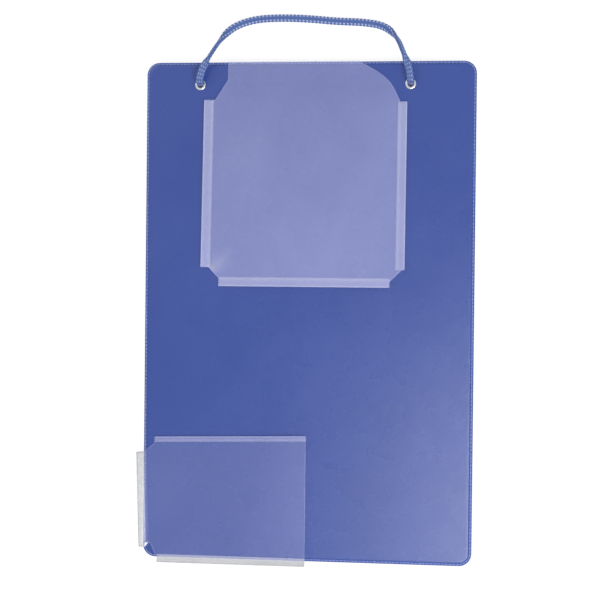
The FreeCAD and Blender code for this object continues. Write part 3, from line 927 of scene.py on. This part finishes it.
# x from the board's centre line, distance past its top edge, height above the surface, all in millimetres.
# The first and last points are inside the eyelets, where the cord lies against the bore's upper side.
CORD_ROUTE = [
    (-77.0, -15.4, 8.6),
    (-77.0, -16.0, PIVOT_Z),
    (-76.8, -12.2, 17.3),
    (-73.9, -4.6, 18.9),
    (-68.8, 4.6, 17.4),
    (-64.1, 13.9, 11.8),
    (-56.5, 24.6, 6.2),
    (-42.0, 30.9, 2.9),
    (-24.0, 32.2, 2.2),
    (-3.0, 31.4, 2.3),
    (18.0, 29.2, 2.2),
    (37.0, 28.4, 2.6),
    (51.8, 25.1, 5.4),
    (60.6, 15.9, 11.2),
    (64.9, 5.0, 17.0),
    (68.6, -4.6, 18.9),
    (69.9, -12.2, 17.3),
    (70.0, -16.0, PIVOT_Z),
    (70.0, -15.4, 8.6),
]


def spline_points(points):
    """The smooth line of a NURBS spline through its control points."""
    curve = bpy.data.curves.new("route", "CURVE")
    curve.dimensions = "3D"
    curve.resolution_u = CURVE_STEPS
    spline = curve.splines.new("NURBS")
    spline.points.add(len(points) - 1)
    for control, place in zip(spline.points, points):
        control.co = (*place, 1.0)
    spline.order_u = 3
    spline.use_endpoint_u = True
    carrier = bpy.data.objects.new("route", curve)
    bpy.context.scene.collection.objects.link(carrier)
    line = bpy.data.meshes.new_from_object(carrier)
    found = np.array([tuple(v.co) for v in line.vertices])
    bpy.data.objects.remove(carrier)
    bpy.data.meshes.remove(line)
    return found


def evenly_spaced(line, step):
    """The line with points at an even distance, and each point's distance along it."""
    gaps = np.linalg.norm(np.diff(line, axis=0), axis=1)
    travelled = np.concatenate([[0.0], np.cumsum(gaps)])
    count = max(2, int(travelled[-1] / step))
    wanted = np.linspace(0.0, travelled[-1], count)
    return np.stack([np.interp(wanted, travelled, line[:, axis]) for axis in range(3)], axis=1), wanted


def transported_frames(line, start, up):
    """Sideways and upward directions carried along the line without twist, from the point numbered start."""
    tangents = np.gradient(line, axis=0)
    tangents /= np.linalg.norm(tangents, axis=1)[:, None]
    ups = np.zeros_like(line)
    for order in (range(start, len(line)), range(start, -1, -1)):
        current = np.array(up, float)
        for i in order:
            current = current - tangents[i] * current.dot(tangents[i])
            current /= np.linalg.norm(current)
            ups[i] = current
    return np.cross(tangents, ups), ups


def strand_heights(angle, along):
    """Heights, up to 1, of the strands that wind one way and of those that wind the other way."""
    lane = BRAID_STRANDS * (angle - EDGE_STRAND_SPREAD * np.sin(2 * angle))[None, :] / (2 * np.pi)
    first = lane + along[:, None] / BRAID_PITCH
    second = lane - along[:, None] / BRAID_PITCH
    first_lane = np.floor(first)
    second_lane = np.floor(second)
    over_first = np.cos(np.pi * (second - 0.5) + np.pi * first_lane)
    over_second = -np.cos(np.pi * (first - 0.5) + np.pi * second_lane)
    crown_first = np.cos(np.pi * (first - first_lane - 0.5))
    crown_second = np.cos(np.pi * (second - second_lane - 0.5))
    first_height = CROWN_SHARE * crown_first + WEAVE_SHARE * over_first
    second_height = CROWN_SHARE * crown_second + WEAVE_SHARE * over_second
    return first_height, second_height


def strand_paint(angle, first_height, second_height):
    """How much of a pale fleck, and of the painted shade between strands, shows at each point."""
    height = np.maximum(first_height, second_height)
    shoulder = np.abs(np.cos(angle))[None, :]
    outer_face = (shoulder > FLECK_BAND[0]) & (shoulder < FLECK_BAND[1])
    # The other face's fainter flecks are partly painted shade
    share = np.where(np.sin(angle)[None, :] < 0, BACK_FLECK, outer_face)
    pale = np.clip(height * FLECK_GAIN - FLECK_START, 0, 1)
    gap_shade = np.clip(GAP_HEIGHT - height, 0, 1) * GAP_GAIN
    return (first_height > second_height) * share * pale, np.minimum(gap_shade, 1.0)


def braid_rings(line, angle, relief, sections):
    """Places of the braid's surface points, ring by ring along the line."""
    sides, ups = transported_frames(line, len(line) // 2, (0.0, 0.0, 1.0))
    width, thickness, turn = (sections[:, [i]] for i in range(3))
    turn = np.radians(turn)
    shoulder = np.abs(np.cos(angle))[None, :]
    valley = 1.0 - CENTRE_VALLEY * np.exp(-((shoulder / VALLEY_WIDTH) ** 2))
    out_x = (width / 2 + relief) * np.cos(angle)[None, :]
    out_y = (thickness / 2 * valley + relief) * np.sin(angle)[None, :]
    across = out_x * np.cos(turn) - out_y * np.sin(turn)
    upward = out_x * np.sin(turn) + out_y * np.cos(turn)
    out = across[..., None] * sides[:, None, :] + upward[..., None] * ups[:, None, :]
    return line[:, None, :] + out * MM


def close_tube(edit, rows):
    """Walls and end caps of a tube whose rings of vertices are rows."""
    bridge(edit, rows, closed=True)
    edit.faces.new(rows[0])
    edit.faces.new(rows[-1])
    bmesh.ops.recalc_face_normals(edit, faces=edit.faces)


def braided_tube(name, line, section, body, replaced):
    """Closed tube with interlaced strands pressed out of an oval section. section(along, total) gives the
    width, thickness and turn at a place along the cord, in millimetres and degrees."""
    line, travelled = evenly_spaced(line, RING_STEP * MM)
    along = travelled / MM
    angle = np.linspace(0.0, 2 * np.pi, RING_POINTS, endpoint=False)
    heights = strand_heights(angle, along)
    relief = BRAID_RELIEF * (np.maximum(*heights) - 1.0)
    rings = braid_rings(line, angle, relief, np.array([section(s, along[-1]) for s in along]))
    fleck, gap_shade = strand_paint(angle, *heights)
    edit = bmesh.new()
    fleck_layer = edit.verts.layers.float.new("fleck")
    gap_layer = edit.verts.layers.float.new("gap_shade")
    rows = []
    for i, ring in enumerate(rings):
        row = []
        for j, place in enumerate(ring):
            vert = edit.verts.new(place)
            vert[fleck_layer] = float(fleck[i, j])
            vert[gap_layer] = float(gap_shade[i, j])
            row.append(vert)
        rows.append(row)
    close_tube(edit, rows)
    piece = finish_piece(name, edit, CORD_BRAID, body)
    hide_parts(replaced)
    return piece, line


def cord_section(along, total):
    """Squeezed in the eyelets, flat over the loop, and turned over once in each leg."""
    near_end = min(along, total - along)
    flat = smooth_step((near_end - SQUEEZED_END) / SQUEEZED_RUN)
    width = BORE_CORD_WIDTH + (CORD_WIDTH - BORE_CORD_WIDTH) * flat
    thickness = BORE_CORD_THICKNESS + (CORD_THICKNESS - BORE_CORD_THICKNESS) * flat
    turn = sum(90.0 * smooth_step(0.5 + (place - near_end) / run) for place, run in QUARTER_TURNS)
    return width, thickness, turn if along < total / 2 else -turn


def hanging_cord():
    """The free loop. Inside the eyelets it stays put, and above them it turns with cord_loop."""
    points = [at(x, -past, z * MM) for x, past, z in CORD_ROUTE]
    line = spline_points(points)
    piece, line = braided_tube("braided_cord", line, cord_section, None, "hanging_cord")
    start = at(0, EYELET_DOWN, (EYELET_TOP + CORD_HELD) * MM)
    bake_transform(piece, "board", "cord_loop", start=start, end=start + Vector(CORD_BEND) * MM)


# A stopper knot: its cord, the stem's heights in the bore, and the knot's middle above the cord end's lowest
# point
KNOT_CORD = 3.0
KNOT_STEM = (10.0, 8.0)
KNOT_UP = 3.1
# Its winding: steps in a turn, the angle it starts from, how often it goes in and out per turn, and its size
KNOT_STEPS = 24
KNOT_START = 0.25
KNOT_WINDS = 1.5
KNOT_SIZE = 1.42
# How far out it lies: middle, swing and delay. How far it rises and falls: swing and lead.
KNOT_REACH = (1.35, 0.75, 0.2)
KNOT_RISE = (1.35, 1.2)
# Its tail: out, down the board and up from the knot's middle
KNOT_TAIL = [(4.5, 1.5, -1.0), (7.2, 2.6, -1.3)]


def knot_section(_along, _total):
    return KNOT_CORD, KNOT_CORD, 0.0


def knot_point(x, middle, lean, step):
    """A point of the knot's winding; lean is 1 or -1, for the way in which it turns."""
    t = KNOT_START + step / KNOT_STEPS * 2 * math.pi
    middle_reach, swing, late = KNOT_REACH
    rise, early = KNOT_RISE
    reach = KNOT_SIZE * (middle_reach + swing * math.cos(KNOT_WINDS * (t - late)))
    turn = t * lean
    height = middle + rise * math.sin(KNOT_WINDS * t + early)
    return at(x + reach * math.cos(turn), EYELET_DOWN + reach * math.sin(turn), height * MM)


def stopper_knots():
    """An overhand knot on the writing side of each eyelet, with its stem in the bore and a short tail."""
    for side, lean in (("left", 1), ("right", -1)):
        x = eyelet_x(side)
        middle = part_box(side + "_cord_end")[0].z / MM + KNOT_UP
        points = [at(x, EYELET_DOWN, height * MM) for height in KNOT_STEM]
        points += [knot_point(x, middle, lean, step) for step in range(1, KNOT_STEPS - 1)]
        for out, down, up in KNOT_TAIL:
            points.append(at(x + out * lean, EYELET_DOWN + down, (middle + up) * MM))
        line = spline_points(points)
        braided_tube(side + "_cord_knot", line, knot_section, "board", side + "_cord_end")


# ---------------- clip

# The torsion spring's wire, its coil's mean radius and turns, and its legs, in millimetres
SPRING_WIRE = 0.9
SPRING_MEAN_RADIUS = 1.85
SPRING_TURNS = 8
SPRING_LEG = 10.0
COIL_STEPS = 28
# The wire fills this share of its pitch, so that its turns stay apart
WIRE_FILL = 0.98
# The leg on the lever: distances along from the pin, and down from the coil's underside
LEVER_LEG = [(-1.2, -0.5), (0.0, 0.0), (3.0, 0.1), (6.0, 0.1), (SPRING_LEG, 0.0)]
WIRE_SIDES = 14
# A direction along which no wire starts
WIRE_UP = (0.0, 0.31, 0.95)


def round_wire(name, points, radius, body):
    """Round wire of spring steel through the points."""
    line = np.array([tuple(p) for p in points])
    sides, ups = transported_frames(line, 0, WIRE_UP)
    edit = bmesh.new()
    rows = []
    for place, side, up in zip(line, sides, ups):
        ring = []
        for i in range(WIRE_SIDES):
            angle = 2 * math.pi * i / WIRE_SIDES
            ring.append(edit.verts.new(place + radius * (math.cos(angle) * side + math.sin(angle) * up)))
        rows.append(ring)
    close_tube(edit, rows)
    return finish_piece(name, edit, SPRING_STEEL, body)


def clip_spring():
    """Torsion spring wound round the pin: the coil and base leg stay, the other leg follows the lever."""
    pin_low, pin_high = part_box("clip_hinge_pin")
    axis = (pin_low + pin_high) / 2
    start_x = axis.x - SPRING_TURNS / 2 * SPRING_WIRE * MM
    radius = SPRING_MEAN_RADIUS * MM
    coil = [Vector((start_x, axis.y - SPRING_LEG * MM, axis.z + radius))]
    for i in range(COIL_STEPS * SPRING_TURNS + 1):
        turn = 2 * math.pi * i / COIL_STEPS
        x = start_x + SPRING_WIRE * MM * i / COIL_STEPS
        coil.append(Vector((x, axis.y + radius * math.sin(turn), axis.z + radius * math.cos(turn))))
    wire = SPRING_WIRE * MM / 2 * WIRE_FILL
    piece = round_wire("clip_spring_coil", coil, wire, "board")
    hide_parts("clip_spring")
    end_x = start_x + (SPRING_TURNS + 1) * SPRING_WIRE * MM
    leg = [Vector((end_x, axis.y + along * MM, axis.z - radius - drop * MM)) for along, drop in LEVER_LEG]
    round_wire("clip_spring_lever_leg", leg, wire, "jaw")


def paint_nodes():
    """The CAD's own metal and board pieces keep their shapes and get detailed materials."""
    finishes = {
        "core_board": CORE_BOARD,
        "clip_base_plate": CLIP_STEEL,
        "clip_jaw": CLIP_STEEL,
        "clip_hinge_pin": PIN_STEEL,
        "clip_rivets": PIN_STEEL,
    }
    for side in ("left", "right"):
        finishes[side + "_eyelet"] = NICKEL
        finishes[side + "_eyelet_washer"] = NICKEL
    for name, material in finishes.items():
        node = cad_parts[name]
        node.data.materials.clear()
        node.data.materials.append(material)


# ---------------- studio

# The floor, in metres, and the gap in millimetres that keeps it off the pieces that touch it
FLOOR_SIZE = 24.0
FLOOR_GAP = 0.1
# The light from all round: its strength, the upward part of a direction from which it comes whole, and its
# share at the horizon and below
AMBIENT = 0.72
SKY_HEIGHT = 0.6
SKY_LOW = 0.45
# Soft lamps: name, place, what it points at, size and watts
LAMPS = [
    ("key", (-0.9, 0.9, 1.3), (0.0, 0.0, 0.0), (0.8, 0.8), 4.0),
    ("sheen", (0.58, -0.56, 1.25), (0.58, -0.56, 0.0), (1.0, 0.8), 19.0),
]
# The camera's place in metres and turn in degrees, its lens and sensor in millimetres, and its near limit
CAMERA_PLACE = (0.09925, 0.0177, 0.9515)
CAMERA_TURN = (-0.415, 6.226, 0.613)
CAMERA_LENS = 81.5
CAMERA_SENSOR = 36.0
CAMERA_NEAR = 0.01


def floor():
    """The board rests on its clip and its foot, so the surface runs along both."""
    jaw_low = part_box("clip_jaw")[0]
    pin_low, pin_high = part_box("clip_hinge_pin")
    pin_y = (pin_low.y + pin_high.y) / 2
    foot_y = FRONT_LOW.y
    slope = (FRONT_Z - jaw_low.z) / (pin_y - foot_y)
    bpy.ops.mesh.primitive_plane_add(size=FLOOR_SIZE)
    plane = bpy.context.object
    plane.name = "pale_floor"
    plane.rotation_euler = Euler((-math.atan(slope), 0.0, 0.0))
    plane.location = (0.0, 0.0, jaw_low.z + slope * pin_y - FLOOR_GAP * MM)
    plane.data.materials.append(floor_material())


def area_light(name, place, target, size, watts):
    light = bpy.data.lights.new(name, "AREA")
    light.shape = "RECTANGLE"
    light.size, light.size_y = size
    light.energy = watts
    lamp = bpy.data.objects.new(name, light)
    lamp.location = place
    lamp.rotation_euler = (Vector(target) - Vector(place)).to_track_quat("-Z", "Y").to_euler()
    bpy.context.scene.collection.objects.link(lamp)


def studio():
    """Even light from all round, weaker from low down, and the lamps."""
    world = bpy.data.worlds.new("studio")
    world.use_nodes = True
    nodes = world.node_tree.nodes
    links = world.node_tree.links
    background = nodes["Background"]
    background.inputs["Strength"].default_value = AMBIENT
    direction = nodes.new("ShaderNodeTexCoord")
    split = nodes.new("ShaderNodeSeparateXYZ")
    fade = nodes.new("ShaderNodeMapRange")
    fade.inputs["From Max"].default_value = SKY_HEIGHT
    fade.inputs["To Min"].default_value = SKY_LOW
    links.new(direction.outputs["Generated"], split.inputs["Vector"])
    links.new(split.outputs["Z"], fade.inputs["Value"])
    links.new(fade.outputs["Result"], background.inputs["Color"])
    bpy.context.scene.world = world
    bpy.context.scene.view_settings.view_transform = "Standard"
    for lamp in LAMPS:
        area_light(*lamp)


def camera():
    lens = bpy.data.cameras.new("camera")
    lens.sensor_width = CAMERA_SENSOR
    lens.lens = CAMERA_LENS
    lens.clip_start = CAMERA_NEAR
    eye = bpy.data.objects.new("camera", lens)
    eye.location = CAMERA_PLACE
    eye.rotation_euler = Euler([math.radians(a) for a in CAMERA_TURN])
    bpy.context.scene.collection.objects.link(eye)
    bpy.context.scene.camera = eye


camera()
studio()
floor()
board_covers()
key_pocket()
card_pocket()
hanging_cord()
stopper_knots()
clip_spring()
paint_nodes()
